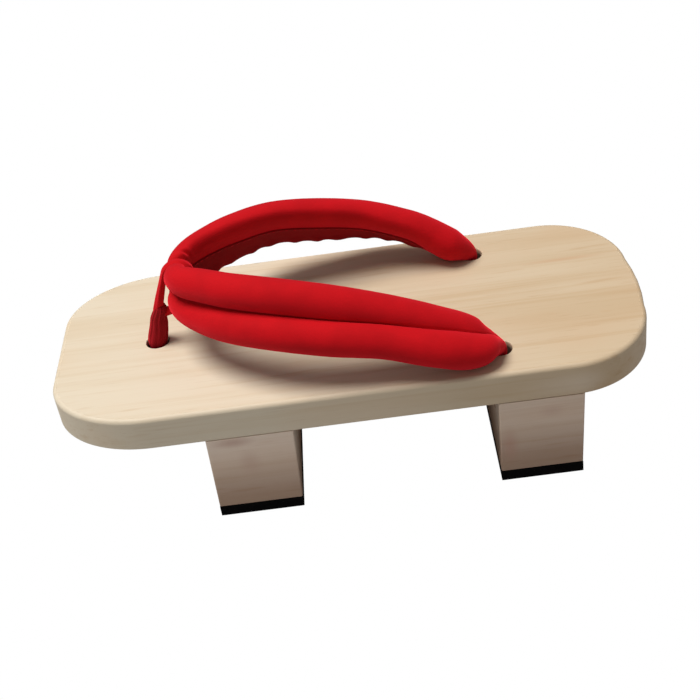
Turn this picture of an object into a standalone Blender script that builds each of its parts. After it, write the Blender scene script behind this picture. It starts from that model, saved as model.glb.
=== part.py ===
"""Geta sandal: a two-toothed wooden sandal with rubber treads and a padded red thong strap.

Metres, +Z up, +X toward the toe. The origin is on the floor, under the middle of the foot board.
"""
import math

import bmesh
import bpy
from mathutils import Vector

# Foot board: length, width, thickness, and the reach of its rounded corners
board_length = 0.240
board_width = 0.102
board_thickness = 0.0145
toe_corner_reach = 0.040
toe_corner_half_width = 0.031
heel_corner_reach = 0.033
heel_corner_half_width = 0.034
heel_bow = 0.0014
board_top_round = 0.0018
board_bottom_round = 0.0006
corner_steps = 9

# Teeth: centre and length along the sandal, height, and how far each face leans in at the bottom,
# or out where the value is below 0
front_tooth_x = 0.04225
front_tooth_length = 0.0345
rear_tooth_x = -0.07145
rear_tooth_length = 0.0335
tooth_height = 0.0343
tooth_rear_draft = 0.0013
tooth_front_draft = -0.0006
tooth_edge_round = 0.0006

# Rubber treads under the teeth
tread_thickness = 0.0056
tread_chamfer = 0.0010

# Thong holes: one at the toe, two near the heel, by their distances from the board's ends and sides.
# They are bored by hand, so the left heel hole lies a little behind the right one.
toe_hole_inset = 0.0415
left_heel_hole_inset = 0.0616
right_heel_hole_inset = 0.0644
heel_hole_side_inset = 0.0167
hole_radius = 0.0048
hole_sides = 28

# Padded strap: two stuffed rolls side by side, with a crease between them outside; the wraps are
# how far round towards the crease and the flat inner side the rolls' outlines are followed
strap_toe_setback = 0.0140
strap_rise = 0.0292
roll_radius = 0.0071
roll_spread = 0.0068
outer_crease = 0.52
crease_wrap = 0.62
inner_wrap = 0.35
roll_points = 7
strap_steps = 3
steep = 0.25

# Strap tails and knots under the board
tail_radius = 0.0030
knot_radius = 0.0055
knot_height = 0.0100
knot_steps = 6
knot_notch_gap = 0.0011

# Toe cord: a loop round the strap's front, on a stem that flares down to the toe hole
cord_radius = 0.0019
cord_pinch = 0.65
toe_flare_radius = 0.0039
toe_neck_radius = 0.0025
toe_neck_height = 0.0150
toe_neck_setback = 0.0047
neck_turn = 0.75
loop_points = 26

# Gaps between neighbours
seat_gap = 0.0003
loop_gap = 0.0007

# Strap's centre line from the toe (row 1) back to the heel holes, as shares of the named sizes.
# It is made by hand and has settled a little to the left, so each side has its own rows.
# lean is in degrees: how far the band's upper edge leans in over the foot.
# upper is the upper roll's size beside the lower one, and flat the inner side's depth beside the outer.
strap_columns = ("along", "reach", "height", "lean", "roll", "spread", "upper", "flat")
strap_rows = {
    "left": (
        (1.000, 0.000, 0.900, 10, 0.600, 0.660, 1.00, 0.75),
        (0.993, 0.170, 0.935, 7, 0.690, 0.770, 1.00, 0.70),
        (0.966, 0.350, 0.925, 6, 0.755, 0.850, 1.02, 0.65),
        (0.910, 0.475, 0.987, 18, 0.860, 0.970, 1.03, 0.60),
        (0.820, 0.757, 0.987, 25, 0.940, 1.000, 1.03, 0.58),
        (0.682, 0.970, 0.978, 34, 0.980, 1.005, 1.01, 0.58),
        (0.517, 1.085, 0.863, 40, 1.000, 0.953, 1.00, 0.58),
        (0.354, 1.132, 0.708, 48, 0.990, 0.850, 0.97, 0.65),
        (0.215, 1.172, 0.522, 63, 1.080, 0.855, 0.90, 0.85),
        (0.134, 1.156, 0.381, 70, 1.090, 0.850, 0.85, 0.95),
        (0.073, 1.141, 0.294, 74, 0.970, 0.770, 0.79, 1.00),
        (0.030, 1.090, 0.192, 80, 0.520, 0.550, 0.76, 1.00),
    ),
    "right": (
        (1.000, 0.000, 0.900, 10, 0.600, 0.660, 1.00, 0.75),
        (0.993, 0.190, 0.950, 9, 0.690, 0.770, 1.00, 0.70),
        (0.966, 0.332, 0.945, 12, 0.755, 0.850, 1.00, 0.65),
        (0.910, 0.485, 0.978, 18, 0.860, 0.970, 0.99, 0.60),
        (0.820, 0.718, 0.981, 26, 0.940, 1.000, 1.00, 0.58),
        (0.682, 0.954, 0.960, 34, 0.980, 1.005, 0.99, 0.58),
        (0.517, 1.070, 0.832, 35, 1.015, 0.975, 1.00, 0.58),
        (0.354, 1.144, 0.678, 42, 0.980, 0.883, 1.00, 0.62),
        (0.215, 1.082, 0.520, 49, 0.992, 0.721, 1.00, 0.70),
        (0.134, 1.018, 0.378, 46, 1.018, 0.505, 1.00, 0.85),
        (0.073, 0.928, 0.263, 50, 1.020, 0.250, 1.00, 0.95),
        (0.030, 0.900, 0.150, 62, 0.470, 0.020, 1.00, 1.00),
    ),
}

# Strap tails inside the heel holes: forward of the hole's middle as a share of the slack round the
# tail, down as a share of the board's thickness, spread as a share of the tail's radius
tail_columns = ("forward", "down", "spread")
tail_rows = (
    (0.45, 0.00, 0.10),
    (0.40, 0.35, 0.00),
    (0.20, 0.90, 0.00),
)

# Toe cord's stem above the board: height as a share of the neck's height, back as a share of the
# neck's setback, and radius as a share of the flare's radius
stem_columns = ("height", "back", "radius")
stem_rows = (
    (-0.20, 0.00, 0.93),
    (0.10, 0.10, 1.00),
    (0.40, 0.34, 0.95),
    (0.75, 0.72, 0.78),
)

# Heights and places worked out from the sizes above
tooth_bottom = tread_thickness + seat_gap
tooth_top = tooth_bottom + tooth_height
board_bottom = tooth_top + seat_gap
board_top = board_bottom + board_thickness
toe_hole_x = 0.5 * board_length - toe_hole_inset
heel_hole_x = {
    "left": -0.5 * board_length + left_heel_hole_inset,
    "right": -0.5 * board_length + right_heel_hole_inset,
}
heel_hole_y = 0.5 * board_width - heel_hole_side_inset
strap_toe_x = toe_hole_x - strap_toe_setback
knot_top = board_bottom - seat_gap
knot_notch_radius = knot_radius + knot_notch_gap
knot_notch_height = knot_height + 2.0 * knot_notch_gap

object_name = "geta_sandal"


def clear_scene():
    for item in list(bpy.data.objects):
        bpy.data.objects.remove(item, do_unlink=True)


def new_collection(name):
    collection = bpy.data.collections.new(name)
    bpy.context.scene.collection.children.link(collection)
    return collection


def make_material(name, colour, roughness):
    material = bpy.data.materials.new(name)
    material.use_nodes = True
    shader = material.node_tree.nodes["Principled BSDF"]
    shader.inputs["Base Color"].default_value = (*colour, 1.0)
    shader.inputs["Roughness"].default_value = roughness
    shader.inputs["Metallic"].default_value = 0.0
    material.diffuse_color = (*colour, 1.0)
    return material


def add_object(name, data, collection, colour=None, roughness=0.6):
    item = bpy.data.objects.new(name, data)
    collection.objects.link(item)
    if colour is not None:
        data.materials.append(make_material(name + "_material", colour, roughness))
    return item


def as_mesh(item):
    """Replace a curve object by a welded mesh object of the same name, place and collection."""
    bpy.context.view_layer.update()
    evaluated = item.evaluated_get(bpy.context.evaluated_depsgraph_get())
    mesh = bpy.data.meshes.new_from_object(evaluated)
    work = bmesh.new()
    work.from_mesh(mesh)
    bmesh.ops.remove_doubles(work, verts=work.verts, dist=0.000001)
    bmesh.ops.dissolve_limit(work, angle_limit=0.0005, verts=work.verts, edges=work.edges)
    bmesh.ops.recalc_face_normals(work, faces=work.faces)
    work.to_mesh(mesh)
    work.free()
    name = item.name
    matrix = item.matrix_world.copy()
    collection = item.users_collection[0]
    bpy.data.objects.remove(item, do_unlink=True)
    result = bpy.data.objects.new(name, mesh)
    result.matrix_world = matrix
    collection.objects.link(result)
    return result


def round_edges(item, wanted, width, segments):
    """Bevel the edges for which wanted(edge) is true."""
    work = bmesh.new()
    work.from_mesh(item.data)
    edges = [edge for edge in work.edges if wanted(edge)]
    bmesh.ops.bevel(work, geom=edges, offset=width, segments=segments, profile=0.5, affect="EDGES")
    work.to_mesh(item.data)
    work.free()


def boolean(item, tool, operation):
    modifier = item.modifiers.new(operation.title() + " " + tool.name, "BOOLEAN")
    modifier.operation = operation
    modifier.solver = "EXACT"
    modifier.object = tool


def hide_tool(item):
    item.hide_render = True
    item.display_type = "WIRE"


def smooth(item, degrees):
    item.data.shade_smooth()
    item.data.set_sharp_from_angle(angle=math.radians(degrees))


def corner(centre, reach, start):
    """A quarter ellipse, anticlockwise from the start angle, its end points included."""
    points = []
    for step in range(corner_steps + 1):
        angle = start + 0.5 * math.pi * step / corner_steps
        points.append((centre[0] + reach[0] * math.cos(angle), centre[1] + reach[1] * math.sin(angle)))
    return points


def board_outline():
    """The foot board seen from above, anticlockwise, with a slight bow across the heel."""
    half_length = 0.5 * board_length
    half_width = 0.5 * board_width
    toe_x = half_length - toe_corner_reach
    toe_y = half_width - toe_corner_half_width
    heel_x = -half_length + heel_bow + heel_corner_reach
    heel_y = half_width - heel_corner_half_width
    toe = (toe_corner_reach, toe_corner_half_width)
    heel = (heel_corner_reach, heel_corner_half_width)
    points = corner((toe_x, toe_y), toe, 0.0)
    points += corner((heel_x, heel_y), heel, 0.5 * math.pi)
    points.append((-half_length, 0.0))
    points += corner((heel_x, -heel_y), heel, math.pi)
    points += corner((toe_x, -toe_y), toe, 1.5 * math.pi)
    return points


def hole_places():
    return {
        "toe_hole": (toe_hole_x, 0.0),
        "heel_hole_left": (heel_hole_x["left"], heel_hole_y),
        "heel_hole_right": (heel_hole_x["right"], -heel_hole_y),
    }


def post(name, radius, height, place, collection):
    """An upright round cutter, centred on a place."""
    bpy.ops.mesh.primitive_cylinder_add(vertices=hole_sides, radius=radius, depth=height, location=place)
    item = bpy.context.active_object
    item.name = name
    for home in list(item.users_collection):
        home.objects.unlink(item)
    collection.objects.link(item)
    hide_tool(item)
    return item


def make_board(parts, cutters):
    curve = bpy.data.curves.new("board", "CURVE")
    curve.dimensions = "2D"
    curve.fill_mode = "BOTH"
    curve.extrude = 0.5 * board_thickness
    outline = board_outline()
    spline = curve.splines.new("POLY")
    spline.points.add(len(outline) - 1)
    for point, (x, y) in zip(spline.points, outline):
        point.co = (x, y, 0.0, 1.0)
    spline.use_cyclic_u = True
    item = add_object("board", curve, parts)
    item.location.z = board_bottom + 0.5 * board_thickness
    board = as_mesh(item)
    half = 0.5 * board_thickness

    def on_rim(edge, height):
        return all(abs(vertex.co.z - height) < 0.1 * half for vertex in edge.verts)

    round_edges(board, lambda edge: on_rim(edge, half), board_top_round, 3)
    round_edges(board, lambda edge: on_rim(edge, -half), board_bottom_round, 1)
    board.data.materials.append(make_material("board_material", (0.78, 0.66, 0.49), 0.55))
    for name, (x, y) in hole_places().items():
        place = (x, y, board_bottom + half)
        cutter = post(name, hole_radius, 1.2 * board_thickness, place, cutters)
        boolean(board, cutter, "DIFFERENCE")
    smooth(board, 35)


def block(name, top, bottom, z_low, z_high, parts, colour, roughness):
    """A block across the board; top and bottom are its (rear, front) faces along the sandal."""
    bpy.ops.mesh.primitive_cube_add(size=1.0)
    item = bpy.context.active_object
    item.name = name
    for home in list(item.users_collection):
        home.objects.unlink(item)
    parts.objects.link(item)
    for vertex in item.data.vertices:
        rear, front = top if vertex.co.z > 0 else bottom
        vertex.co.x = front if vertex.co.x > 0 else rear
        vertex.co.y *= board_width
        vertex.co.z = z_high if vertex.co.z > 0 else z_low
    item.data.materials.append(make_material(name + "_material", colour, roughness))
    return item


def upright(edge):
    first, second = edge.verts
    return abs(first.co.z - second.co.z) > 0.5 * edge.calc_length()


def make_foot(which, centre, length, parts):
    """A tooth and the tread under it; returns the tooth."""
    rear = centre - 0.5 * length
    front = centre + 0.5 * length
    top = (rear, front)
    bottom = (rear + tooth_rear_draft, front - tooth_front_draft)
    wood = (0.60, 0.48, 0.35)
    tooth = block("tooth_" + which, top, bottom, tooth_bottom, tooth_top, parts, wood, 0.6)
    round_edges(tooth, upright, tooth_edge_round, 2)
    rubber = (0.02, 0.02, 0.02)
    tread = block("tread_" + which, bottom, bottom, 0.0, tread_thickness, parts, rubber, 0.8)
    middle = 0.5 * tread_thickness
    round_edges(tread, lambda edge: all(v.co.z < middle for v in edge.verts), tread_chamfer, 1)
    return tooth


def scoop_knots(tooth, cutters):
    """Cut room for the two heel knots where they meet the rear tooth."""
    for name, (x, y) in hole_places().items():
        if name.startswith("heel"):
            place = (x, y, board_bottom - 0.5 * knot_notch_height)
            cutter = post("notch_" + name, knot_notch_radius, knot_notch_height, place, cutters)
            boolean(tooth, cutter, "DIFFERENCE")


def strap_stations(side):
    """One side of the strap, from toe to knot: rows of centre, lean, roll radius, spread, upper, flat."""
    name = "left" if side > 0 else "right"
    hole_x = heel_hole_x[name]
    stations = []
    for row in strap_rows[name]:
        share = dict(zip(strap_columns, row))
        x = hole_x + share["along"] * (strap_toe_x - hole_x)
        y = side * share["reach"] * heel_hole_y
        z = board_top + share["height"] * strap_rise
        lean = math.radians(share["lean"])
        radius = share["roll"] * roll_radius
        spread = share["spread"] * roll_spread
        stations.append((Vector((x, y, z)), lean, radius, spread, share["upper"], share["flat"]))
    lean = stations[-1][1]
    for row in tail_rows:
        share = dict(zip(tail_columns, row))
        x = hole_x + share["forward"] * (hole_radius - tail_radius)
        z = board_top - share["down"] * board_thickness
        centre = Vector((x, side * heel_hole_y, z))
        stations.append((centre, lean, tail_radius, share["spread"] * tail_radius, 1.0, 1.0))
    end = Vector((hole_x, side * heel_hole_y, knot_top))
    stations.append((end, lean, tail_radius, 0.0, 1.0, 1.0))
    return stations


def knot_profile():
    """How deep under the board each round of a plain knot lies, and its radius."""
    rounds = []
    for step in range(1, knot_steps + 1):
        angle = math.pi * step / (knot_steps + 1)
        rounds.append((0.5 * knot_height * (1.0 - math.cos(angle)), knot_radius * math.sin(angle)))
    return rounds


def knot_stations(start, lean):
    """Round sections of the knot that hangs under the board from a start point."""
    down = Vector((0.0, 0.0, -1.0))
    return [(start + down * drop, lean, radius, 0.0, 1.0, 1.0) for drop, radius in knot_profile()]


def between(rows, before, steps):
    """Catmull-Rom rows between the given ones, where before is the row ahead of the first."""
    last = (2.0 * rows[-1][0] - rows[-2][0], *rows[-1][1:])
    line = [before, *rows, last]
    result = []
    for index in range(1, len(line) - 2):
        a, b, c, d = line[index - 1:index + 3]
        for step in range(steps):
            t = step / steps
            row = []
            for p, q, r, s in zip(a, b, c, d):
                curve = 2.0 * q + (r - p) * t + (2.0 * p - 5.0 * q + 4.0 * r - s) * t * t
                row.append(0.5 * (curve + (3.0 * q - p - 3.0 * r + s) * t * t * t))
            result.append(tuple(row))
    result.append(rows[-1])
    return result


def section(above, inward, centre, lean, radius, spread, upper, flat):
    """The strap's outline across its centre line: two rolls, creased outside and flatter inside."""
    up = above * math.cos(lean) + inward * math.sin(lean)
    out = above * math.sin(lean) - inward * math.cos(lean)
    parted = min(spread / radius, 1.0)
    outer_reach = 0.5 * math.pi + crease_wrap * math.asin(parted)
    inner_reach = 0.5 * math.pi * (1.0 + inner_wrap * parted)
    waist = 0.5 * (1.0 + upper) * radius
    points = []
    for half, size in ((1.0, upper), (-1.0, 1.0)):
        points.append(centre + out * waist * (1.0 - outer_crease * parted if half > 0 else -flat))
        middle = centre + up * half * size * spread
        start = -outer_reach if half > 0 else -inner_reach
        for index in range(1, roll_points + 1):
            angle = start + (outer_reach + inner_reach) * index / (roll_points + 1)
            outward = -half * math.sin(angle) * size * radius
            outward *= 1.0 if outward > 0 else flat
            points.append(middle + up * half * math.cos(angle) * size * radius + out * outward)
    return points


def directions(rows, side):
    """The ways above and inward at each row; inward is carried along where the strap runs down."""
    inward = Vector((-1.0, 0.0, 0.0))
    result = []
    for index, row in enumerate(rows):
        ahead = rows[min(index + 1, len(rows) - 1)][0]
        heading = (ahead - rows[index - 1][0]).normalized() if index else Vector((0.0, side, 0.0))
        level = Vector((0.0, 0.0, side)).cross(heading)
        inward = level if level.length > steep else inward - heading * inward.dot(heading)
        inward.normalize()
        result.append((side * heading.cross(inward), inward))
    return result


def strap_side(side):
    """The outlines of one side of the strap, from the toe to the end of its knot."""
    stations = strap_stations(side)
    rows = between(stations, strap_stations(-side)[1], strap_steps)
    rows += knot_stations(*rows[-1][:2])
    return [section(*ways, *row) for ways, row in zip(directions(rows, side), rows)]


def make_strap(parts):
    """The strap, lofted from the left knot over the toe to the right knot."""
    left = strap_side(1.0)
    right = strap_side(-1.0)
    work = bmesh.new()
    rings = [[work.verts.new(point) for point in outline] for outline in reversed(left)]
    rings += [[work.verts.new(point) for point in outline] for outline in right[1:]]
    for first, second in zip(rings, rings[1:]):
        for index in range(len(first)):
            after = (index + 1) % len(first)
            work.faces.new((first[index], first[after], second[after], second[index]))
    work.faces.new(rings[0])
    work.faces.new(rings[-1])
    bmesh.ops.recalc_face_normals(work, faces=work.faces)
    mesh = bpy.data.meshes.new("strap")
    work.to_mesh(mesh)
    work.free()
    add_object("strap", mesh, parts, (0.62, 0.02, 0.03), 0.75)
    smooth(bpy.data.objects["strap"], 40)


def tube(name, points, radii, closed, collection):
    """A round cord through the points, with a radius at each."""
    curve = bpy.data.curves.new(name, "CURVE")
    curve.dimensions = "3D"
    curve.bevel_depth = 1.0
    curve.bevel_resolution = 4
    curve.use_fill_caps = not closed
    spline = curve.splines.new("POLY")
    spline.points.add(len(points) - 1)
    for knot, place, radius in zip(spline.points, points, radii):
        knot.co = (*place, 1.0)
        knot.radius = radius
    spline.use_cyclic_u = closed
    item = bpy.data.objects.new(name, curve)
    collection.objects.link(item)
    return as_mesh(item)


def belt(circles):
    """A closed line round circles of (x, z, radius), as a belt runs round pulleys."""
    points = []
    for index in range(loop_points):
        angle = 2.0 * math.pi * index / loop_points
        way = (math.cos(angle), math.sin(angle))
        x, z, radius = max(circles, key=lambda c: c[0] * way[0] + c[1] * way[1] + c[2])
        points.append(Vector((x + radius * way[0], 0.0, z + radius * way[1])))
    return points


def strap_front_circles():
    """The two rolls of the strap at its front, as circles (x, z, radius) on the middle plane."""
    centre, lean, radius, spread = strap_stations(1.0)[0][:4]
    up = Vector((-math.sin(lean), 0.0, math.cos(lean)))
    return [(place.x, place.z, radius) for place in (centre + up * spread, centre - up * spread)]


def toe_stem():
    """Places and radii down the toe cord's stem, from its neck to the end of its knot."""
    neck = (toe_hole_x - toe_neck_setback, board_top + toe_neck_height + 0.5 * cord_radius, toe_neck_radius)
    line = [neck]
    for row in reversed(stem_rows):
        share = dict(zip(stem_columns, row))
        x = toe_hole_x - share["back"] * toe_neck_setback
        z = board_top + share["height"] * toe_neck_height
        line.append((x, z, share["radius"] * toe_flare_radius))
    line.append((toe_hole_x, board_bottom, toe_neck_radius))
    line += [(toe_hole_x, knot_top - drop, radius) for drop, radius in knot_profile()]
    return [Vector((x, 0.0, z)) for x, z, radius in line], [radius for x, z, radius in line]


def pinched(point, route):
    """The cord's thickness at a point of the loop: thinnest at its lowest point, full from halfway up."""
    low = min(place.z for place in route)
    middle = 0.5 * (low + max(place.z for place in route))
    return cord_pinch + (1.0 - cord_pinch) * min((point.z - low) / (middle - low), 1.0)


def make_toe_loop(parts, cutters):
    """The toe cord: a stem from its knot up through the board, and the loop round the strap."""
    wrap = loop_gap + cord_radius
    pulleys = [(x, z, radius + wrap) for x, z, radius in strap_front_circles()]
    pulleys.append((toe_hole_x - toe_neck_setback, board_top + toe_neck_height, neck_turn * cord_radius))
    route = belt(pulleys)
    radii = [cord_radius * pinched(point, route) for point in route]
    loop = tube("loop_round_strap", route, radii, True, cutters)
    hide_tool(loop)
    item = tube("toe_loop", *toe_stem(), False, parts)
    item.data.materials.append(make_material("toe_loop_material", (0.60, 0.02, 0.03), 0.75))
    boolean(item, loop, "UNION")
    smooth(item, 40)


def build():
    clear_scene()
    parts = new_collection(object_name)
    cutters = new_collection("cutters")
    make_board(parts, cutters)
    make_foot("front", front_tooth_x, front_tooth_length, parts)
    rear = make_foot("rear", rear_tooth_x, rear_tooth_length, parts)
    scoop_knots(rear, cutters)
    make_strap(parts)
    make_toe_loop(parts, cutters)


build()
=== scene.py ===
"""Looks of the geta sandal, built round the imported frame.

Metres, +Z up, +X toward the toe, +Y toward the camera side, which is the shoe's left.
"""
import math

import bmesh
import bpy
from mathutils import Matrix, Vector, noise


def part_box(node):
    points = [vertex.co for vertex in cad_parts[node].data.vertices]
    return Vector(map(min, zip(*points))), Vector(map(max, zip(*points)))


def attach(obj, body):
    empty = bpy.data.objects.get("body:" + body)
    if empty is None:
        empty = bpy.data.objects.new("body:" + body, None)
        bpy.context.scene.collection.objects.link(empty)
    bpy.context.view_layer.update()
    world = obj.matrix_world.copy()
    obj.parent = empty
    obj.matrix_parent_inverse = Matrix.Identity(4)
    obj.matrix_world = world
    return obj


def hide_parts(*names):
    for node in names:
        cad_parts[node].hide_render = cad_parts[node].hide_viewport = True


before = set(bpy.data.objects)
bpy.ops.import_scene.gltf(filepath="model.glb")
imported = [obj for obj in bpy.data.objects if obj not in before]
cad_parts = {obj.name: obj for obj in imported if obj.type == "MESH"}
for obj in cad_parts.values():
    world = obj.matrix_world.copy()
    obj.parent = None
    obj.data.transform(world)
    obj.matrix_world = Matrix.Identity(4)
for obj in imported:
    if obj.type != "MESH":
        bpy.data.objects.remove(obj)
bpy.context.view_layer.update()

board_low, board_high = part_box("board")
board_bottom = board_low.z
board_top = board_high.z
board_thickness = board_top - board_bottom
half_length = board_high.x
half_width = board_high.y

# Foot board, as in the CAD but finer
toe_corner = (0.040, 0.031)
heel_corner = (0.033, 0.034)
heel_bow = 0.0014
top_round = 0.0019
bottom_round = 0.0008
round_steps = 7
corner_steps = 28
rim_wear = 0.14
wear_scale = 40.0
board_sharp_angle = 50
toe_hole_x = 0.0785
heel_hole_x = {"left": -0.0584, "right": -0.0556}
heel_hole_y = 0.0343
heel_places = ((heel_hole_x["left"], heel_hole_y), (heel_hole_x["right"], -heel_hole_y))
hole_places = ((toe_hole_x, 0.0), *heel_places)
hole_radius = 0.0048
hole_rim = 0.0004
cut_past = 0.001

# Teeth
front_tooth = (0.04225, 0.0345)
rear_tooth = (-0.07145, 0.0335)
tooth_rear_draft = 0.0013
tooth_front_draft = -0.0006
tooth_edge_round = 0.0007
tooth_sharp_angle = 40
tread_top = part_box("tread_front")[1].z
notch_radius = 0.0066
notch_height = 0.0122
notch_ease = 0.0012

# Padded strap
strap_toe_x = 0.0645
strap_rise = 0.0292
roll_radius = 0.0071
roll_spread = 0.0068
tail_radius = 0.0033
steep = 0.25
strap_steps = 16
roll_points = 34
flat_points = 12
crease_depth = 0.38
crease_closed = 0.97
soft_height = 0.00013
fine_height = 0.00004
toe_press = 0.00040
toe_press_reach = 0.0030
least_spread = 0.06

# Gathers where the toe cord pulls the strap in: side, place along, place round, slant, reach and depth
fold_columns = ("side", "start", "across", "slant", "reach", "depth")
fold_rows = (
    (-1, 0.0052, -0.30, -0.0010, 0.75, 0.00110),
    (-1, 0.0088, -0.55, -0.0016, 0.55, 0.00080),
    (1, 0.0050, -0.40, 0.0010, 0.60, 0.00050),
)

# Each gather is a groove with a lower ridge beside it
groove_width = 0.0009
ridge_place = 0.0020
ridge_width = 0.0012

# Lining along the strap's inner side
lining_top = 0.25
lining_wrap = 42
lining_points = 24
lining_lift = 0.00035
lining_depth = 0.0009
lining_flat_share = 0.7
lining_least = 0.3
lining_fade = 0.25
lining_low = 0.009
lining_rise = 0.004
lining_start = 0.006
lining_sunk = 0.0006
lining_ripple = 0.00010
hem_height = 0.00030
gather_length = 0.0102
gather_height = 0.00066

# Strap's centre line and sections, close to the CAD's and eased at the toe and at the rear ends.
# The lean is in degrees and the rest are shares of the sizes above.
strap_columns = ("along", "reach", "height", "lean", "roll", "spread", "upper", "flat")
strap_rows = {
    "left": (
        (1.000, 0.000, 0.900, 10, 0.600, 0.660, 1.06, 0.75),
        (0.993, 0.180, 0.930, 8, 0.700, 0.770, 1.15, 0.70),
        (0.966, 0.350, 0.938, 10, 0.780, 0.860, 1.14, 0.65),
        (0.910, 0.530, 0.960, 17, 0.865, 0.950, 1.09, 0.60),
        (0.820, 0.757, 0.987, 24, 0.940, 1.000, 1.03, 0.58),
        (0.682, 0.970, 0.978, 33, 0.980, 1.005, 1.01, 0.58),
        (0.517, 1.085, 0.863, 40, 1.000, 0.953, 1.00, 0.58),
        (0.354, 1.132, 0.708, 48, 0.990, 0.850, 0.97, 0.65),
        (0.215, 1.170, 0.520, 61, 1.050, 0.850, 0.90, 0.83),
        (0.134, 1.152, 0.376, 69, 1.060, 0.830, 0.88, 0.94),
        (0.073, 1.128, 0.268, 73, 0.930, 0.690, 0.88, 1.00),
        (0.036, 1.068, 0.160, 78, 0.660, 0.370, 0.92, 1.00),
    ),
    "right": (
        (1.000, 0.000, 0.900, 10, 0.600, 0.660, 1.06, 0.75),
        (0.993, 0.187, 0.930, 8, 0.690, 0.770, 1.00, 0.70),
        (0.966, 0.345, 0.942, 12, 0.765, 0.855, 1.00, 0.65),
        (0.910, 0.505, 0.965, 18, 0.855, 0.960, 0.99, 0.60),
        (0.820, 0.718, 0.976, 26, 0.940, 1.000, 1.00, 0.58),
        (0.682, 0.954, 0.960, 34, 0.980, 1.005, 0.99, 0.58),
        (0.517, 1.070, 0.832, 36, 1.010, 0.975, 1.00, 0.58),
        (0.354, 1.144, 0.678, 42, 0.990, 0.870, 1.00, 0.62),
        (0.215, 1.082, 0.520, 47, 1.000, 0.700, 1.00, 0.70),
        (0.134, 1.018, 0.378, 50, 1.010, 0.480, 1.00, 0.85),
        (0.073, 0.945, 0.248, 54, 0.985, 0.260, 1.00, 0.95),
        (0.032, 0.945, 0.145, 62, 0.700, 0.080, 1.00, 1.00),
    ),
}

# Strap's tails in their holes, as shares of the room there, the board's thickness and the tail's radius
tail_columns = ("forward", "down", "spread", "roll")
tail_rows = (
    (0.45, 0.00, 0.10, 1.00),
    (0.40, 0.35, 0.00, 0.90),
    (0.20, 0.90, 0.00, 0.80),
)

# Toe cord: the folded band, thinner away from its neck, and the flared stem below it
band_half_width = 0.0021
band_half_thickness = 0.0019
band_pinch = 0.22
band_thin = 0.55
pinch_reach = 0.0038
thick_reach = 0.0160
belt_points = 720
neck_height = 0.0150
neck_setback = 0.0047
neck_turn = 0.0014
loop_gap = 0.0004
loop_points = 150
band_points = 36

# Stem, from its foot to its neck: height and back are shares of the neck's, half widths are in metres
flare_columns = ("height", "back", "across", "along")
flare_rows = (
    (-0.30, 0.00, 0.0030, 0.0030),
    (0.00, 0.03, 0.0037, 0.0039),
    (0.20, 0.17, 0.0038, 0.0041),
    (0.53, 0.47, 0.0036, 0.0038),
    (0.80, 0.64, 0.0032, 0.0033),
    (1.03, 0.93, 0.0028, 0.0028),
    (1.17, 1.02, 0.0021, 0.0019),
)

# Stem inside its hole, as heights over the board's underside and radii
stem_foot = ((-0.001, 0.0026), (0.004, 0.0028))
stem_points = 96
stem_steps = 12
pleats = 11.0
small_pleats = 17.0

# Stitches along the lining's upper edge
stitch_pitch = 0.0030
stitch_start = 0.010
stitch_low = 0.013
stitch_least = 0.55
stitch_lift = 0.00020
stitch_size = (0.00080, 0.00022, 0.00022)

# Knots under the board
knot_cord = 0.0019
knot_size = 0.00118
knot_drop = 0.0053
knot_depth = 1.25
knot_steps = 56
knot_start = 0.35
knot_sides = 18

# Cloth's length round each piece, and between its sections, for the weave
strap_girth = 0.062
lining_girth = 0.030
lining_uv_step = 0.0011
band_uv_step = 0.0006
band_uv_width = 0.0004
stem_uv_width = 0.00025
knot_uv_step = 0.0007

# Camera, solved from the photograph's outline
camera_place = (-0.0169, 0.4322, 0.3594)
camera_right = (-0.9912, 0.0509, -0.1224)
camera_up = (-0.1285, -0.5955, 0.7930)
camera_lens = 66.2
sensor_width = 36.0

# Layers of the wood's grain: repeats per metre along each axis, range shown, strength and tint
grain_columns = ("name", "scale", "detail", "rough", "shift", "low", "high", "strength", "tint")
grain_rows = (
    ("broad", (3.5, 62.0, 62.0), 3.0, 0.55, (0.0, 0.0, 0.0), 0.46, 0.66, 0.36, None),
    ("fine", (7.0, 330.0, 330.0), 4.0, 0.6, (0.0, 0.0, 0.0), 0.48, 0.72, 0.38, None),
    ("flecks", (32.0, 310.0, 310.0), 2.0, 0.5, (1.0, 3.0, 2.0), 0.62, 0.76, 0.34, (0.80, 0.66, 0.50)),
    ("pores", (60.0, 1900.0, 1900.0), 2.0, 0.6, (0.0, 0.0, 0.0), 0.60, 0.78, 0.30, (0.62, 0.47, 0.33)),
    ("blush", (14.0, 26.0, 26.0), 2.0, 0.5, (5.0, 2.0, 0.0), 0.50, 0.70, 0.50, (1.0, 0.93, 0.88)),
)

# Heights between which the teeth darken toward the floor: painted shade for the floor lying in the board's
# shadow
floor_shade_heights = (0.009, 0.034)
floor_shade_tint = (0.56, 0.46, 0.40)

# Light: the way to the key light, its softness, and the fill
key_way = (0.34, -0.05, 1.00)
key_strength = 3.45
key_angle = 32
key_colour = (1.0, 0.985, 0.96)
sky_strength = 0.25
horizon_strength = 0.30
floor_bounce = 0.40
floor_size = 40.0


def look_collection():
    collection = bpy.data.collections.new("looks")
    bpy.context.scene.collection.children.link(collection)
    return collection


looks = look_collection()


def add_piece(name, mesh, material, nodes=()):
    """A finished piece of the sandal that rides on the root body."""
    item = bpy.data.objects.new(name, mesh)
    looks.objects.link(item)
    mesh.materials.append(material)
    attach(item, "root")
    if nodes:
        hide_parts(*nodes)
    return item


def mesh_from(work, name):
    """A smooth mesh from a bmesh, which is freed."""
    mesh = bpy.data.meshes.new(name)
    work.to_mesh(mesh)
    work.free()
    mesh.shade_smooth()
    return mesh


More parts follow.
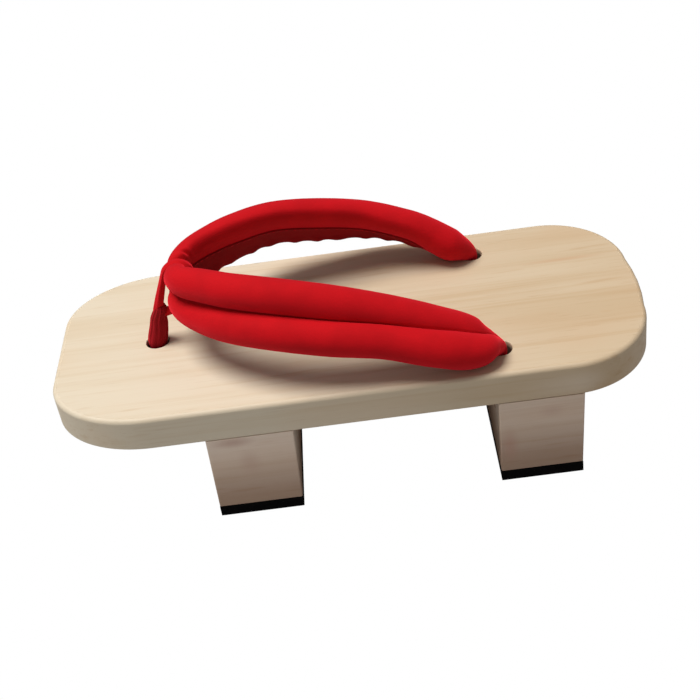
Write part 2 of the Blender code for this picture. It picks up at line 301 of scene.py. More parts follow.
def keep_edges(mesh, sharp_angle):
    """Smooth shading, but sharp where faces meet over an angle in degrees."""
    mesh.shade_smooth()
    mesh.set_sharp_from_angle(angle=math.radians(sharp_angle))


def scratch_object(name, mesh):
    item = bpy.data.objects.new(name, mesh)
    bpy.context.scene.collection.objects.link(item)
    return item


def cut(mesh, cutters):
    """The mesh with the cutter meshes taken away."""
    item = scratch_object("cut_target", mesh)
    tools = []
    for cutter in cutters:
        tool = scratch_object("cutter", cutter)
        modifier = item.modifiers.new("cut", "BOOLEAN")
        modifier.operation = "DIFFERENCE"
        modifier.solver = "EXACT"
        modifier.object = tool
        tools.append(tool)
    bpy.context.view_layer.update()
    evaluated = item.evaluated_get(bpy.context.evaluated_depsgraph_get())
    result = bpy.data.meshes.new_from_object(evaluated)
    for thing in (item, *tools):
        bpy.data.objects.remove(thing, do_unlink=True)
    return result


def loft(work, rings, closed=False):
    """Quads between rings of vertices; closed joins the last ring to the first."""
    pairs = list(zip(rings, rings[1:]))
    if closed:
        pairs.append((rings[-1], rings[0]))
    for first, second in pairs:
        for index in range(len(first)):
            after = (index + 1) % len(first)
            work.faces.new((first[index], first[after], second[after], second[index]))


def lofted(name, outlines, closed=False):
    """A closed mesh lofted through outlines of points."""
    work = bmesh.new()
    rings = [[work.verts.new(point) for point in outline] for outline in outlines]
    loft(work, rings, closed)
    if not closed:
        work.faces.new(rings[0])
        work.faces.new(rings[-1])
    bmesh.ops.recalc_face_normals(work, faces=work.faces)
    return mesh_from(work, name)


# Materials
def node(tree, kind, inputs=None, **settings):
    """A shader node; inputs are values or sockets to link, by name or number."""
    item = tree.nodes.new(kind)
    for key, value in settings.items():
        setattr(item, key, value)
    for key, value in (inputs or {}).items():
        socket = item.inputs[key]
        if isinstance(value, bpy.types.NodeSocket):
            tree.links.new(value, socket)
        else:
            socket.default_value = value
    return item


def rgba(colour):
    return (*colour, 1.0)


def new_material(name, colour):
    material = bpy.data.materials.new(name)
    material.use_nodes = True
    material.diffuse_color = rgba(colour)
    tree = material.node_tree
    return material, tree, tree.nodes["Principled BSDF"]


def mix(tree, factor, first, second, blend="MIX"):
    """A colour mix; first and second are colours or sockets."""
    item = node(tree, "ShaderNodeMix", data_type="RGBA", blend_type=blend)
    for place, value in ((0, factor), (6, first), (7, second)):
        if isinstance(value, bpy.types.NodeSocket):
            tree.links.new(value, item.inputs[place])
        elif place:
            item.inputs[place].default_value = rgba(value)
        else:
            item.inputs[place].default_value = value
    return item.outputs[2]


def math_node(tree, operation, *values):
    return node(tree, "ShaderNodeMath", dict(enumerate(values)), operation=operation).outputs[0]


def spread_noise(tree, coords, scale, detail=3.0, roughness=0.5, shift=(0.0, 0.0, 0.0)):
    """Noise in object space, stretched by a scale of repeats per metre along each axis."""
    place = node(tree, "ShaderNodeMapping", {"Vector": coords, "Scale": scale, "Location": shift})
    values = {"Vector": place.outputs[0], "Scale": 1.0, "Detail": detail, "Roughness": roughness}
    return node(tree, "ShaderNodeTexNoise", values).outputs["Fac"]


def ranged(tree, value, low, high, out_low=0.0, out_high=1.0):
    values = {0: value, 1: low, 2: high, 3: out_low, 4: out_high}
    return node(tree, "ShaderNodeMapRange", values, clamp=True, interpolation_type="SMOOTHSTEP").outputs[0]


def patch(tree, coords, centre, reach):
    """1 at a centre, fading to 0 at an elliptical reach round it."""
    shift = [-c / r for c, r in zip(centre, reach)]
    scale = [1.0 / r for r in reach]
    place = node(tree, "ShaderNodeMapping", {"Vector": coords, "Location": shift, "Scale": scale})
    length = node(tree, "ShaderNodeVectorMath", {0: place.outputs[0]}, operation="LENGTH").outputs["Value"]
    return ranged(tree, length, 1.0, 0.0)


def bump(tree, shader, height, strength, distance):
    item = node(tree, "ShaderNodeBump", {"Height": height, "Strength": strength, "Distance": distance})
    tree.links.new(item.outputs[0], shader.inputs["Normal"])


def wood_material(name, toe, heel, streak, stains_and_shade):
    """Pale plain-sawn wood with its grain along X, from toe colour to heel colour.

    Layers with no tint of their own take the streak colour; a stain or a patch of painted shade is a centre,
    reach, tint and amount.
    """
    material, tree, shader = new_material(name, toe)
    coords = node(tree, "ShaderNodeTexCoord").outputs["Object"]
    x = node(tree, "ShaderNodeSeparateXYZ", {0: coords}).outputs[0]
    drift = spread_noise(tree, coords, (9.0, 22.0, 22.0), 2.0)
    drifted = math_node(tree, "MULTIPLY_ADD", drift, 0.09, x)
    along = ranged(tree, drifted, -0.070, 0.105)
    colour = mix(tree, along, heel, toe)
    grain = {}
    for row in grain_rows:
        layer = dict(zip(grain_columns, row))
        pattern = spread_noise(tree, coords, layer["scale"], layer["detail"], layer["rough"], layer["shift"])
        shown = ranged(tree, pattern, layer["low"], layer["high"], 0.0, layer["strength"])
        colour = mix(tree, shown, colour, layer["tint"] or streak, "MULTIPLY")
        grain[layer["name"]] = pattern
    z = node(tree, "ShaderNodeSeparateXYZ", {0: coords}).outputs[2]
    # Painted shade: the wood darkens toward the floor between the given heights
    colour = mix(tree, ranged(tree, z, *floor_shade_heights, 1.0, 0.0), colour, floor_shade_tint, "MULTIPLY")
    # Real stains, and patches of painted shade such as the dark insides of the holes
    for centre, reach, tint, amount in stains_and_shade:
        inside = math_node(tree, "MULTIPLY", patch(tree, coords, centre, reach), amount)
        colour = mix(tree, inside, colour, tint)
    tree.links.new(colour, shader.inputs["Base Color"])
    rough = ranged(tree, grain["fine"], 0.3, 0.8, 0.48, 0.62)
    tree.links.new(rough, shader.inputs["Roughness"])
    shader.inputs["Specular IOR Level"].default_value = 0.35
    bump(tree, shader, math_node(tree, "ADD", grain["fine"], grain["pores"]), 0.22, 0.00012)
    return material


def rubber_material():
    material, tree, shader = new_material("tread_rubber", (0.006, 0.005, 0.006))
    coords = node(tree, "ShaderNodeTexCoord").outputs["Object"]
    grain = spread_noise(tree, coords, (900.0, 900.0, 900.0), 3.0, 0.6)
    scuffs = spread_noise(tree, coords, (60.0, 160.0, 220.0), 4.0, 0.6)
    worn = ranged(tree, scuffs, 0.50, 0.78, 0.0, 0.5)
    colour = mix(tree, worn, (0.002, 0.0015, 0.002), (0.010, 0.008, 0.008))
    tree.links.new(colour, shader.inputs["Base Color"])
    tree.links.new(ranged(tree, grain, 0.3, 0.7, 0.62, 0.85), shader.inputs["Roughness"])
    shader.inputs["Specular IOR Level"].default_value = 0.05
    bump(tree, shader, grain, 0.5, 0.0002)
    return material


def cloth_material(name, colour, dark, sheen, weave):
    """Plain close-woven cloth; weave is its threads per metre, read along and round the piece."""
    material, tree, shader = new_material(name, colour)
    coords = node(tree, "ShaderNodeTexCoord")
    place = node(tree, "ShaderNodeSeparateXYZ", {0: coords.outputs["UV"]})
    warp = math_node(tree, "SINE", math_node(tree, "MULTIPLY", place.outputs[0], 2.0 * math.pi * weave))
    weft = math_node(tree, "SINE", math_node(tree, "MULTIPLY", place.outputs[1], 2.0 * math.pi * weave))
    threads = math_node(tree, "MULTIPLY", warp, weft)
    nap = spread_noise(tree, coords.outputs["Object"], (1500.0, 1500.0, 1500.0), 3.0, 0.6)
    cloud = spread_noise(tree, coords.outputs["Object"], (70.0, 70.0, 70.0), 3.0, 0.5)
    tone = mix(tree, ranged(tree, cloud, 0.35, 0.70, 0.0, 0.55), colour, dark)
    tone = mix(tree, ranged(tree, nap, 0.45, 0.75, 0.0, 0.35), tone, dark)
    tree.links.new(tone, shader.inputs["Base Color"])
    shader.inputs["Roughness"].default_value = 0.82
    shader.inputs["Specular IOR Level"].default_value = 0.12
    shader.inputs["Sheen Weight"].default_value = sheen
    shader.inputs["Sheen Roughness"].default_value = 0.50
    shader.inputs["Sheen Tint"].default_value = rgba(sheen_red)
    height = math_node(tree, "MULTIPLY_ADD", threads, 0.30, nap)
    bump(tree, shader, height, 0.30, 0.00010)
    return material


# Shared curves
def between(rows, before, steps):
    """Catmull-Rom rows between the given ones, where before is the row ahead of the first."""
    last = (2.0 * rows[-1][0] - rows[-2][0], *rows[-1][1:])
    line = [before, *rows, last]
    result = []
    for index in range(1, len(line) - 2):
        a, b, c, d = line[index - 1:index + 3]
        for step in range(steps):
            t = step / steps
            row = []
            for p, q, r, s in zip(a, b, c, d):
                curve = 2.0 * q + (r - p) * t + (2.0 * p - 5.0 * q + 4.0 * r - s) * t * t
                row.append(0.5 * (curve + (3.0 * q - p - 3.0 * r + s) * t * t * t))
            result.append(tuple(row))
    result.append(rows[-1])
    return result


def bell(distance, width):
    return math.exp(-(distance / width) ** 2)


def waves(x, y, z=0.0):
    """Smooth noise from -1 to 1, the same on each run."""
    return noise.noise(Vector((x, y, z)))


# Foot board and teeth
def corner(centre, reach, start):
    """A quarter of an ellipse from a start angle, as points of the board's outline."""
    points = []
    for step in range(corner_steps + 1):
        angle = start + 0.5 * math.pi * step / corner_steps
        x = centre[0] + reach[0] * math.cos(angle)
        y = centre[1] + reach[1] * math.sin(angle)
        points.append(Vector((x, y)))
    return points


def board_outline():
    toe_x = half_length - toe_corner[0]
    toe_y = half_width - toe_corner[1]
    heel_x = -half_length + heel_bow + heel_corner[0]
    heel_y = half_width - heel_corner[1]
    points = corner((toe_x, toe_y), toe_corner, 0.0)
    points += corner((heel_x, heel_y), heel_corner, 0.5 * math.pi)
    points.append(Vector((-half_length + 0.25 * heel_bow, 0.5 * heel_y)))
    points.append(Vector((-half_length, 0.0)))
    points.append(Vector((-half_length + 0.25 * heel_bow, -0.5 * heel_y)))
    points += corner((heel_x, -heel_y), heel_corner, math.pi)
    points += corner((toe_x, -toe_y), toe_corner, 1.5 * math.pi)
    return points


def outward(points, index):
    ahead = points[(index + 1) % len(points)] - points[index - 1]
    return Vector((ahead.y, -ahead.x)).normalized()


def rounded_edge(face, radius, way):
    """Rows of height and inset from the board's side round to a face; way is 1 to come from above it."""
    rows = []
    for step in range(round_steps + 1):
        angle = 0.5 * math.pi * step / round_steps
        height = face + way * radius * (1.0 - math.sin(angle))
        rows.append((height, radius * (1.0 - math.cos(angle))))
    return rows


def rim_profile():
    """Rows of height and inset, from the board's underside up to its top."""
    low = rounded_edge(board_bottom, bottom_round, 1.0)
    return low[::-1] + rounded_edge(board_top, top_round, -1.0)


def turned(name, rows, place, sides=56):
    """A closed turned mesh round an upright axis, from rows of height and radius."""
    work = bmesh.new()
    rings = []
    for height, radius in rows:
        ring = []
        for index in range(sides):
            angle = 2.0 * math.pi * index / sides
            x = place[0] + radius * math.cos(angle)
            y = place[1] + radius * math.sin(angle)
            ring.append(work.verts.new((x, y, height)))
        rings.append(ring)
    loft(work, rings)
    work.faces.new(rings[0])
    work.faces.new(rings[-1])
    bmesh.ops.recalc_face_normals(work, faces=work.faces)
    return mesh_from(work, name)


def hole_cutter(place):
    """A thong hole's cutter, with a small worn rim at both ends."""
    wide = hole_radius + hole_rim
    rows = [
        (board_bottom - cut_past, wide),
        (board_bottom, wide),
        (board_bottom + hole_rim, hole_radius),
        (board_top - 2.0 * hole_rim, hole_radius),
        (board_top - 0.8 * hole_rim, hole_radius + 0.25 * hole_rim),
        (board_top, wide),
        (board_top + cut_past, wide),
    ]
    return turned("hole", rows, place)


def make_board(material):
    outline = board_outline()
    rings = []
    for z, inset in rim_profile():
        ring = []
        for index, point in enumerate(outline):
            wear = 1.0 + rim_wear * waves(wear_scale * point.x, wear_scale * point.y, 3.0)
            place = point - outward(outline, index) * inset * wear
            ring.append(Vector((place.x, place.y, z)))
        rings.append(ring)
    solid = lofted("board_solid", rings)
    mesh = cut(solid, [hole_cutter(place) for place in hole_places])
    keep_edges(mesh, board_sharp_angle)
    item = add_piece("board_wood", mesh, material, ["board"])
    keep_flats(item)


def keep_flats(item):
    """Shade flat faces flat, so that the rounding stays on the edges."""
    modifier = item.modifiers.new("flat faces", "WEIGHTED_NORMAL")
    modifier.keep_sharp = True
    modifier.weight = 100


def make_tooth(which, centre, length, material, notches):
    """A tooth from its tread up to the board, with its upright and lower edges eased."""
    rear = centre - 0.5 * length
    front = centre + 0.5 * length
    work = bmesh.new()
    bmesh.ops.create_cube(work, size=1.0)
    for vertex in work.verts:
        high = vertex.co.z > 0
        back, ahead = (rear, front) if high else (rear + tooth_rear_draft, front - tooth_front_draft)
        vertex.co.x = ahead if vertex.co.x > 0 else back
        vertex.co.y = math.copysign(half_width, vertex.co.y)
        vertex.co.z = board_bottom if high else tread_top
    edges = [edge for edge in work.edges if min(v.co.z for v in edge.verts) < board_bottom - cut_past]
    bmesh.ops.bevel(work, geom=edges, offset=tooth_edge_round, segments=4, profile=0.5, affect="EDGES")
    bmesh.ops.recalc_face_normals(work, faces=work.faces)
    mesh = mesh_from(work, "tooth_solid")
    if notches:
        low = board_bottom - notch_height
        rows = [
            (low, notch_radius - notch_ease),
            (low + notch_ease, notch_radius),
            (board_bottom + cut_past, notch_radius),
        ]
        mesh = cut(mesh, [turned("notch", rows, place) for place in notches])
    keep_edges(mesh, tooth_sharp_angle)
    item = add_piece("tooth_%s_wood" % which, mesh, material, ["tooth_" + which])
    keep_flats(item)


# Strap
def strap_stations(side):
    """One side of the strap, from toe to hole: rows of centre, lean, radius, spread, upper, flat."""
    name = "left" if side > 0 else "right"
    hole_x = heel_hole_x[name]
    stations = []
    for row in strap_rows[name]:
        share = dict(zip(strap_columns, row))
        x = hole_x + share["along"] * (strap_toe_x - hole_x)
        y = side * share["reach"] * heel_hole_y
        z = board_top + share["height"] * strap_rise
        lean = math.radians(share["lean"])
        radius = share["roll"] * roll_radius
        spread = share["spread"] * roll_spread
        stations.append((Vector((x, y, z)), lean, radius, spread, share["upper"], share["flat"]))
    lean = stations[-1][1]
    for row in tail_rows:
        share = dict(zip(tail_columns, row))
        x = hole_x + share["forward"] * (hole_radius - tail_radius)
        z = board_top - share["down"] * board_thickness
        centre = Vector((x, side * heel_hole_y, z))
        radius = share["roll"] * tail_radius
        stations.append((centre, lean, radius, share["spread"] * radius, 1.0, 1.0))
    end = Vector((hole_x, side * heel_hole_y, board_bottom - cut_past))
    stations.append((end, lean, radius, 0.0, 1.0, 1.0))
    return stations


def strap_frames(side):
    """Along one side of the strap: length from the toe, ways up and out, and the station's values."""
    rows = between(strap_stations(side), strap_stations(-side)[1], strap_steps)
    inward = Vector((-1.0, 0.0, 0.0))
    arc = 0.0
    result = []
    for index, (centre, lean, *sizes) in enumerate(rows):
        ahead = rows[min(index + 1, len(rows) - 1)][0]
        heading = (ahead - rows[index - 1][0]).normalized() if index else Vector((0.0, side, 0.0))
        level = Vector((0.0, 0.0, side)).cross(heading)
        inward = level if level.length > steep else inward - heading * inward.dot(heading)
        inward.normalize()
        above = side * heading.cross(inward)
        up = above * math.cos(lean) + inward * math.sin(lean)
        out = above * math.sin(lean) - inward * math.cos(lean)
        if index:
            arc += (centre - rows[index - 1][0]).length
        result.append((arc, up, out, centre, *sizes))
    return result


def section_shape(radius, spread, upper, flat):
    """The strap's outline from the outer crease over the top: rows of up, out, angle and half.

    The angle is 0 at a roll's far end, plus outside and minus inside; half is 1 for the upper roll,
    -1 for the lower one and 0 for the crease and the flat inner side.
    """
    spread = max(spread, least_spread * radius)
    parted = min(spread / radius, 0.999)
    crease = math.acos(-crease_closed * parted)
    inner = 0.5 * math.pi
    waist = 0.5 * (1.0 + upper) * radius
    rows = [(0.0, waist * math.sin(crease) * (1.0 - crease_depth * parted), 0.0, 0.0)]
    for half, size in ((1.0, upper), (-1.0, 1.0)):
        for index in range(roll_points):
            step = index if half > 0 else roll_points - 1 - index
            angle = crease - (crease + inner) * (step + 0.6) / (roll_points - 0.4)
            out = size * radius * math.sin(angle) * (1.0 if angle > 0 else flat)
            rows.append((half * size * (spread + radius * math.cos(angle)), out, angle, half))
        if half > 0:
            top = (size * spread, -size * radius * flat)
            low = (-spread, -radius * flat)
            for index in range(1, flat_points):
                share = index / flat_points
                up = top[0] + (low[0] - top[0]) * share
                out = top[1] + (low[1] - top[1]) * share
                rows.append((up, out, 0.0, 0.0))
    return rows


def roll_detail(arc, side, angle, half):
    """How far a point of a roll stands out from the plain form."""
    soft = soft_height * waves(arc * 45.0, angle * 0.8 + 5.0 * half, 11.0 * side)
    soft += fine_height * waves(arc * 150.0, angle * 1.8, 4.0 + side)
    pressed = -toe_press * bell(arc, toe_press_reach)
    folds = 0.0
    for row in fold_rows:
        fold = dict(zip(fold_columns, row))
        if fold["side"] == side and half > 0:
            away = angle - fold["across"]
            middle = arc - fold["start"] - fold["slant"] * away
            strength = fold["depth"] * bell(away, fold["reach"])
            ridge = 0.5 * bell(middle - ridge_place, ridge_width)
            folds += strength * (ridge - bell(middle, groove_width))
    return soft + pressed + folds


def strap_outlines(side):
    outlines = []
    for arc, up, out, centre, radius, spread, upper, flat in strap_frames(side):
        ring = []
        fade = min(1.0, max(spread, 0.0) / (0.35 * radius))
        for u, o, angle, half in section_shape(radius, spread, upper, flat):
            point = centre + up * u + out * o
            if half:
                push = fade * roll_detail(arc, side, angle, half)
                point += (up * half * math.cos(angle) + out * math.sin(angle)) * push
            ring.append(point)
        outlines.append(ring)
    return outlines


def add_cloth_uv(mesh, around, lengths, widths):
    """A UV layer in metres along and round a lofted piece, for its weave."""
    layer = mesh.uv_layers.new(name="cloth")
    for polygon in mesh.polygons:
        for loop_index in polygon.loop_indices:
            vertex = mesh.loops[loop_index].vertex_index
            ring, place = divmod(vertex, around)
            layer.data[loop_index].uv = (lengths[ring], widths[place])


def make_strap(material):
    left = strap_outlines(1.0)
    right = strap_outlines(-1.0)
    outlines = list(reversed(left)) + right[1:]
    mesh = lofted("strap_cloth", outlines)
    around = len(outlines[0])
    arcs = [-row[0] for row in reversed(strap_frames(1.0))] + [row[0] for row in strap_frames(-1.0)][1:]
    widths = [strap_girth * index / around for index in range(around)]
    add_cloth_uv(mesh, around, arcs, widths)
    item = add_piece("strap_cloth", mesh, material, ["strap"])


def lining_path(radius, spread, upper, flat):
    """Points (up, out) down the flat inner side and round the lower roll."""
    size = 0.5 * (1.0 + upper)
    start = lining_top * (spread + size * radius)
    points = []
    for index in range(lining_points):
        share = index / (lining_points - 1)
        if share < lining_flat_share:
            height = start - (start + spread) * share / lining_flat_share
            points.append(Vector((height, -size * radius * flat)))
        else:
            round_share = (share - lining_flat_share) / (1.0 - lining_flat_share)
            angle = math.radians(-90.0 + lining_wrap * round_share)
            points.append(Vector((-spread - radius * math.cos(angle), radius * flat * math.sin(angle))))
    return points


def lining_outlines(side):
    """Sections of the flat lining that is sewn along the strap's inner side, gathered at its lower edge."""
    outlines = []
    for arc, up, out, centre, radius, spread, upper, flat in strap_frames(side):
        if spread < lining_least * roll_spread or centre.z < board_top + lining_low:
            break
        width_left = (spread / roll_spread - lining_least) / lining_fade
        height_left = (centre.z - board_top - lining_low) / lining_rise
        shown = min(1.0, width_left, height_left)
        shown *= min(1.0, 0.2 + arc / lining_start)
        turn = 2.0 * math.pi * arc / gather_length + 1.6 * waves(arc * 70.0, side, 2.0)
        gather = 0.5 + 0.5 * math.sin(turn)
        swell = 1.0 + 0.9 * waves(arc * 95.0, 5.0 * side, 7.0)
        path = lining_path(radius, spread, upper, flat)
        faces = ([], [])
        for index, place in enumerate(path):
            share = index / (lining_points - 1)
            way = (path[min(index + 1, lining_points - 1)] - path[max(index - 1, 0)]).normalized()
            normal = Vector((-way.y, way.x))
            lift = lining_lift + gather_height * swell * gather ** 1.5 * bell(share - 0.83, 0.20)
            lift += hem_height * bell(share - 0.03, 0.035)
            lift += lining_ripple * waves(arc * 430.0, share * 2.5, side) * math.sin(math.pi * share)
            lift *= min(1.0, 8.0 * (1.0 - share) + 0.1)
            lift = shown * lift - (1.0 - shown) * lining_sunk
            for face, height in zip(faces, (lift, -lining_depth)):
                point = place + normal * height
                face.append(centre + up * point.x + out * point.y)
        outlines.append(faces[0] + list(reversed(faces[1])))
    return outlines


def make_lining(material):
    left = lining_outlines(1.0)
    right = lining_outlines(-1.0)
    outlines = list(reversed(left)) + right[1:]
    mesh = lofted("strap_lining", outlines)
    around = len(outlines[0])
    widths = [lining_girth * index / around for index in range(around)]
    lengths = [lining_uv_step * index for index in range(len(outlines))]
    add_cloth_uv(mesh, around, lengths, widths)
    add_piece("strap_lining", mesh, material)


# Toe cord
def belt(circles, count):
    """A closed line round circles of (x, z, radius), as a belt runs round pulleys."""
    points = []
    for index in range(count):
        angle = 2.0 * math.pi * index / count
        way = (math.cos(angle), math.sin(angle))
        x, z, radius = max(circles, key=lambda c: c[0] * way[0] + c[1] * way[1] + c[2])
        points.append(Vector((x + radius * way[0], 0.0, z + radius * way[1])))
    return points


def even(points, count):
    """Points at even steps along a closed line."""
    line = points + [points[0]]
    lengths = [0.0]
    for first, second in zip(line, line[1:]):
        lengths.append(lengths[-1] + (second - first).length)
    result = []
    place = 0
    for index in range(count):
        wanted = lengths[-1] * index / count
        while lengths[place + 1] < wanted:
            place += 1
        span = lengths[place + 1] - lengths[place]
        share = (wanted - lengths[place]) / span if span > 0 else 0.0
        result.append(line[place].lerp(line[place + 1], share))
    return result


def softened(points, rounds):
    """A closed line with its corners eased."""
    for turn in range(rounds):
        points = [0.25 * points[i - 1] + 0.5 * points[i] + 0.25 * points[(i + 1) % len(points)]
                  for i in range(len(points))]
    return points


def strap_front_circles():
    centre, lean, radius, spread = strap_stations(1.0)[0][:4]
    up = Vector((-math.sin(lean), 0.0, math.cos(lean)))
    return [(place.x, place.z, radius) for place in (centre + up * spread, centre - up * spread)]


def cord_outlines():
    """Sections of the folded cloth band that goes round the strap's front."""
    wrap = loop_gap + band_thin * band_half_thickness
    pulleys = [(x, z, radius + wrap) for x, z, radius in strap_front_circles()]
    neck = Vector((toe_hole_x - neck_setback, 0.0, board_top + neck_height))
    pulleys.append((neck.x, neck.z, neck_turn))
    line = softened(even(belt(pulleys, belt_points), loop_points), 2)
    outlines = []
    for index, centre in enumerate(line):
        heading = (line[(index + 1) % len(line)] - line[index - 1]).normalized()
        side = Vector((0.0, 1.0, 0.0))
        normal = heading.cross(side)
        turn = 2.0 * math.pi * index / len(line)
        from_neck = (centre - neck).length
        pinch = 1.0 - band_pinch * bell(from_neck, pinch_reach)
        width = band_half_width * pinch * (1.0 + 0.05 * math.sin(3.0 * turn))
        thick = band_half_thickness * (band_thin + (1.0 - band_thin) * bell(from_neck, thick_reach))
        ring = []
        for step in range(band_points):
            angle = 2.0 * math.pi * step / band_points
            folds = 1.0 + 0.06 * math.cos(5.0 * angle + 1.3 * math.sin(turn) + 0.5)
            folds += 0.05 * waves(2.2 * math.cos(angle), 2.2 * math.sin(angle), 2.0 + 1.6 * math.sin(turn))
            across = side * math.cos(angle) * width
            ring.append(centre + (across + normal * math.sin(angle) * thick) * folds)
        outlines.append(ring)
    return outlines


def flare_outlines():
    """Sections of the stem, from inside the toe hole up to its pinched neck, with upright folds."""
    rows = []
    for height, radius in stem_foot:
        rows.append((Vector((toe_hole_x, 0.0, board_bottom + height)), radius, radius))
    for row in flare_rows:
        share = dict(zip(flare_columns, row))
        x = toe_hole_x - share["back"] * neck_setback
        z = board_top + share["height"] * neck_height
        rows.append((Vector((x, 0.0, z)), share["across"], share["along"]))
    outlines = []
    for centre, across, along in between(rows, rows[0], stem_steps):
        height = (centre.z - board_top) / neck_height
        depth = 0.05 + 0.07 * max(0.0, min(1.0, height))
        ring = []
        for step in range(stem_points):
            angle = 2.0 * math.pi * step / stem_points
            wander = 0.9 * waves(height * 1.1, 2.0)
            ripple = math.cos(pleats * angle + wander)
            ripple += 0.5 * math.cos(small_pleats * angle + 2.0 - wander)
            folds = 1.0 + depth * ripple * (0.7 + 0.3 * math.cos(2.0 * angle + 1.0)) / 1.5
            folds += 0.03 * waves(3.0 * math.cos(angle), 3.0 * math.sin(angle), height * 3.0)
            ring.append(centre + Vector((along * math.cos(angle), across * math.sin(angle), 0.0)) * folds)
        outlines.append(ring)
    return outlines


def make_toe_cord(band_cloth, stem_cloth):
    cord = cord_outlines()
    mesh = lofted("toe_cord", cord, closed=True)
    lengths = [band_uv_step * i for i in range(len(cord))]
    widths = [band_uv_width * i for i in range(band_points)]
    add_cloth_uv(mesh, band_points, lengths, widths)
    add_piece("toe_cord", mesh, band_cloth, ["toe_loop"])
    stem = flare_outlines()
    mesh = lofted("toe_stem", stem)
    lengths = [band_uv_step * i for i in range(len(stem))]
    widths = [stem_uv_width * i for i in range(stem_points)]
    add_cloth_uv(mesh, stem_points, lengths, widths)
    add_piece("toe_stem", mesh, stem_cloth)


# Knots under the board
def knot_line(place, turn):
    """The line of an overhand knot under a hole, with a small gap where its ends meet."""
    centre = Vector((place[0], place[1], board_bottom - knot_drop))
    spin = Matrix.Rotation(turn, 3, "Z") @ Matrix.Rotation(math.radians(90), 3, "X")
    points = []
    for step in range(knot_steps):
        t = 2.0 * math.pi * (step / knot_steps) + knot_start
        x = math.sin(t) + 2.0 * math.sin(2.0 * t)
        y = math.cos(t) - 2.0 * math.cos(2.0 * t)
        z = -knot_depth * math.sin(3.0 * t)
        points.append(centre + spin @ (Vector((x, y, z)) * knot_size))
    return points


def tube_outlines(points, radius):
    """Sections of an open cord along points, with shallow ribs that twist round it."""
    outlines = []
    normal = Vector((0.0, 0.0, 1.0))
    for index, centre in enumerate(points):
        ahead = points[min(index + 1, len(points) - 1)]
        behind = points[max(index - 1, 0)]
        heading = (ahead - behind).normalized()
        normal = normal - heading * normal.dot(heading)
        normal = normal.normalized() if normal.length > 0.05 else heading.orthogonal().normalized()
        side = heading.cross(normal)
        ring = []
        for step in range(knot_sides):
            angle = 2.0 * math.pi * step / knot_sides
            swell = radius * (1.0 + 0.05 * math.cos(5.0 * angle + 0.35 * index))
            ring.append(centre + (normal * math.cos(angle) + side * math.sin(angle)) * swell)
        outlines.append(ring)
    return outlines


def make_knot(name, place, turn, material):
    points = knot_line(place, turn)
    outlines = tube_outlines(points, knot_cord)
    mesh = lofted(name, outlines)
    lengths = [knot_uv_step * i for i in range(len(points))]
    add_cloth_uv(mesh, knot_sides, lengths, lengths[:knot_sides])
    add_piece(name, mesh, material)


# Stitches
def make_stitches(material):
    """Short thread stitches along the lining's upper edge."""
    work = bmesh.new()
    for side in (1.0, -1.0):
        frames = strap_frames(side)
        wanted = stitch_start
        for index, (arc, up, out, centre, *sizes) in enumerate(frames[:-1]):
            narrow = sizes[1] < stitch_least * roll_spread
            if arc < wanted or narrow or centre.z < board_top + stitch_low:
                continue
            wanted += stitch_pitch
            ahead = (frames[index + 1][3] - centre).normalized()
            edge = lining_path(*sizes)[1]
            place = centre + up * edge.x + out * (edge.y - lining_lift - stitch_lift)
            matrix = Matrix((ahead, up.cross(ahead), up)).transposed().to_4x4()
            matrix.translation = place
            scale = Matrix.Diagonal((*stitch_size, 1.0))
            bmesh.ops.create_uvsphere(work, u_segments=10, v_segments=6, radius=1.0, matrix=matrix @ scale)
    mesh = mesh_from(work, "strap_stitches")
    add_piece("strap_stitches", mesh, material)


# Stage and camera
def floor_material():
    """Pure white where the camera sees it, like a cut-out photograph, and a dimmer bounce elsewhere."""
    material = bpy.data.materials.new("floor_white")
    material.use_nodes = True
    tree = material.node_tree
    tree.nodes.remove(tree.nodes["Principled BSDF"])
    bounce = node(tree, "ShaderNodeBsdfDiffuse", {"Color": rgba([floor_bounce] * 3)})
    white = node(tree, "ShaderNodeEmission", {"Color": rgba((1.0, 1.0, 1.0)), "Strength": 1.0})
    seen = node(tree, "ShaderNodeLightPath").outputs["Is Camera Ray"]
    joined = node(tree, "ShaderNodeMixShader", {0: seen, 1: bounce.outputs[0], 2: white.outputs[0]})
    tree.links.new(joined.outputs[0], tree.nodes["Material Output"].inputs["Surface"])
    return material


def make_stage():
    bpy.ops.mesh.primitive_plane_add(size=floor_size, location=(0.0, 0.0, 0.0))
    floor = bpy.context.active_object
    floor.name = "floor"
    floor.data.materials.append(floor_material())
    world = bpy.data.worlds.new("studio")
    bpy.context.scene.world = world
    world.use_nodes = True
    tree = world.node_tree
    ground = tree.nodes["Background"]
    way = node(tree, "ShaderNodeTexCoord").outputs["Generated"]
    height = node(tree, "ShaderNodeSeparateXYZ", {0: way}).outputs[2]
    level = ranged(tree, height, 0.02, 0.22)
    tone = mix(tree, level, [horizon_strength] * 3, [sky_strength] * 3)
    tree.links.new(tone, ground.inputs["Color"])
    ground.inputs["Strength"].default_value = 1.0
    key = bpy.data.lights.new("key", "SUN")
    key.energy = key_strength
    key.angle = math.radians(key_angle)
    key.color = key_colour
    lamp = bpy.data.objects.new("key", key)
    lamp.rotation_euler = Vector(key_way).to_track_quat("Z", "Y").to_euler()
    bpy.context.scene.collection.objects.link(lamp)


def make_camera():
    right = Vector(camera_right)
    up = Vector(camera_up)
    back = right.cross(up)
    matrix = Matrix((right, up, back)).transposed().to_4x4()
    matrix.translation = Vector(camera_place)
    data = bpy.data.cameras.new("camera")
    data.lens = camera_lens
    data.sensor_width = sensor_width
    data.sensor_fit = "HORIZONTAL"
    data.clip_start = 0.01
    camera = bpy.data.objects.new("camera", data)
    camera.matrix_world = matrix
    bpy.context.scene.collection.objects.link(camera)
    bpy.context.scene.camera = camera
    bpy.context.scene.view_settings.view_transform = "Standard"


make_camera()
make_stage()

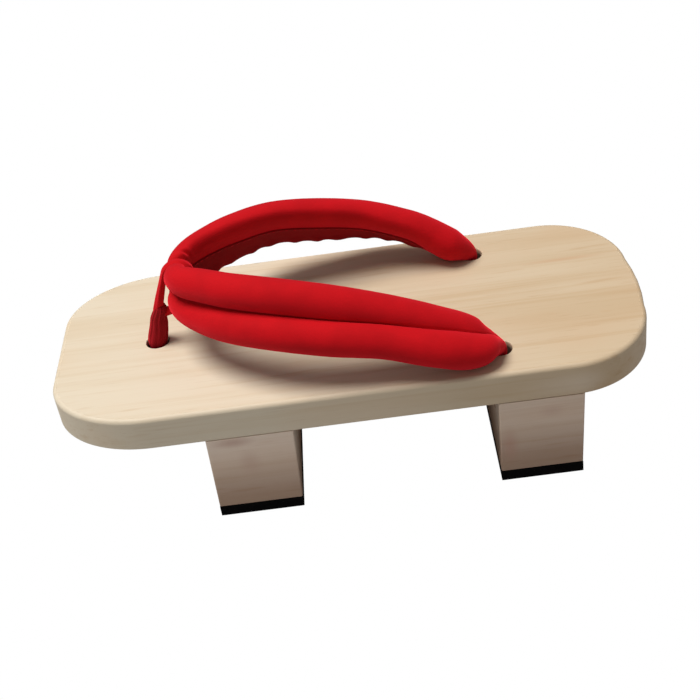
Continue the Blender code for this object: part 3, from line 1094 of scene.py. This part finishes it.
cream = (0.68, 0.590, 0.455)
tan = (0.550, 0.425, 0.285)
board_stains = (
    ((-0.093, -0.021, 0.055), (0.024, 0.0020, 0.01), (0.50, 0.30, 0.17), 0.55),
    ((-0.0964, 0.0276, 0.055), (0.0035, 0.0011, 0.01), (0.50, 0.34, 0.20), 0.40),
    ((-0.1028, 0.0195, 0.055), (0.0040, 0.0010, 0.01), (0.50, 0.34, 0.20), 0.40),
    ((-0.0845, 0.0427, 0.055), (0.0050, 0.0012, 0.01), (0.52, 0.38, 0.24), 0.35),
    ((-0.0900, 0.0540, 0.046), (0.0400, 0.0060, 0.010), (0.72, 0.63, 0.53), 0.80),
)
tooth_stains = (
    ((0.049, 0.051, 0.0385), (0.011, 0.02, 0.0035), (0.42, 0.22, 0.17), 0.50),
    ((0.044, 0.051, 0.0270), (0.006, 0.02, 0.0090), (0.55, 0.36, 0.28), 0.45),
    ((-0.058, 0.051, 0.0190), (0.005, 0.02, 0.0120), (0.45, 0.24, 0.18), 0.50),
    ((-0.075, 0.051, 0.0340), (0.007, 0.02, 0.0040), (0.50, 0.32, 0.26), 0.35),
)
# Painted shade inside the thong holes: dark brown, fading onto the top round each rim
hole_shade_height = 0.0485
hole_shade_reach = (0.0120, 0.0120, 0.0065)
hole_shade_brown = (0.10, 0.06, 0.04)
hole_shade_patches = tuple(((x, y, hole_shade_height), hole_shade_reach, hole_shade_brown, 5.0) for x, y in hole_places)
board_wood = wood_material("board_wood", cream, tan, (0.84, 0.74, 0.60), board_stains + hole_shade_patches)
tooth_toe = (0.78, 0.64, 0.53)
tooth_heel = (0.68, 0.55, 0.45)
tooth_wood = wood_material("tooth_wood", tooth_toe, tooth_heel, (0.84, 0.74, 0.64), tooth_stains)
rubber = rubber_material()
sheen_red = (1.0, 0.035, 0.060)
red = (0.54, 0.0026, 0.0064)
deep_red = (0.41, 0.0018, 0.0045)
strap_red = cloth_material("strap_cloth", red, deep_red, 1.0, 2200.0)
# The lining is darker than the strap: partly its own darker cloth, partly painted shade for the strap's
# shaded inner side
lining_red_and_shade = cloth_material("lining_cloth", (0.25, 0.002, 0.005), (0.18, 0.001, 0.003), 0.12, 2000.0)
cord_red = cloth_material("cord_cloth", (0.27, 0.003, 0.007), (0.17, 0.002, 0.004), 0.60, 2600.0)
thread = cloth_material("thread", (0.52, 0.010, 0.018), (0.40, 0.007, 0.012), 0.03, 5000.0)

make_board(board_wood)
make_tooth("front", *front_tooth, tooth_wood, ())
make_tooth("rear", *rear_tooth, tooth_wood, heel_places)
for name in ("tread_front", "tread_rear"):
    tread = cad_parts[name]
    tread.data.materials.clear()
    tread.data.materials.append(rubber)
make_strap(strap_red)
make_lining(lining_red_and_shade)
make_stitches(thread)
make_toe_cord(strap_red, cord_red)
make_knot("knot_toe", (toe_hole_x, 0.0), 0.4, cord_red)
make_knot("knot_left", heel_places[0], 1.3, strap_red)
make_knot("knot_right", heel_places[1], -0.9, strap_red)
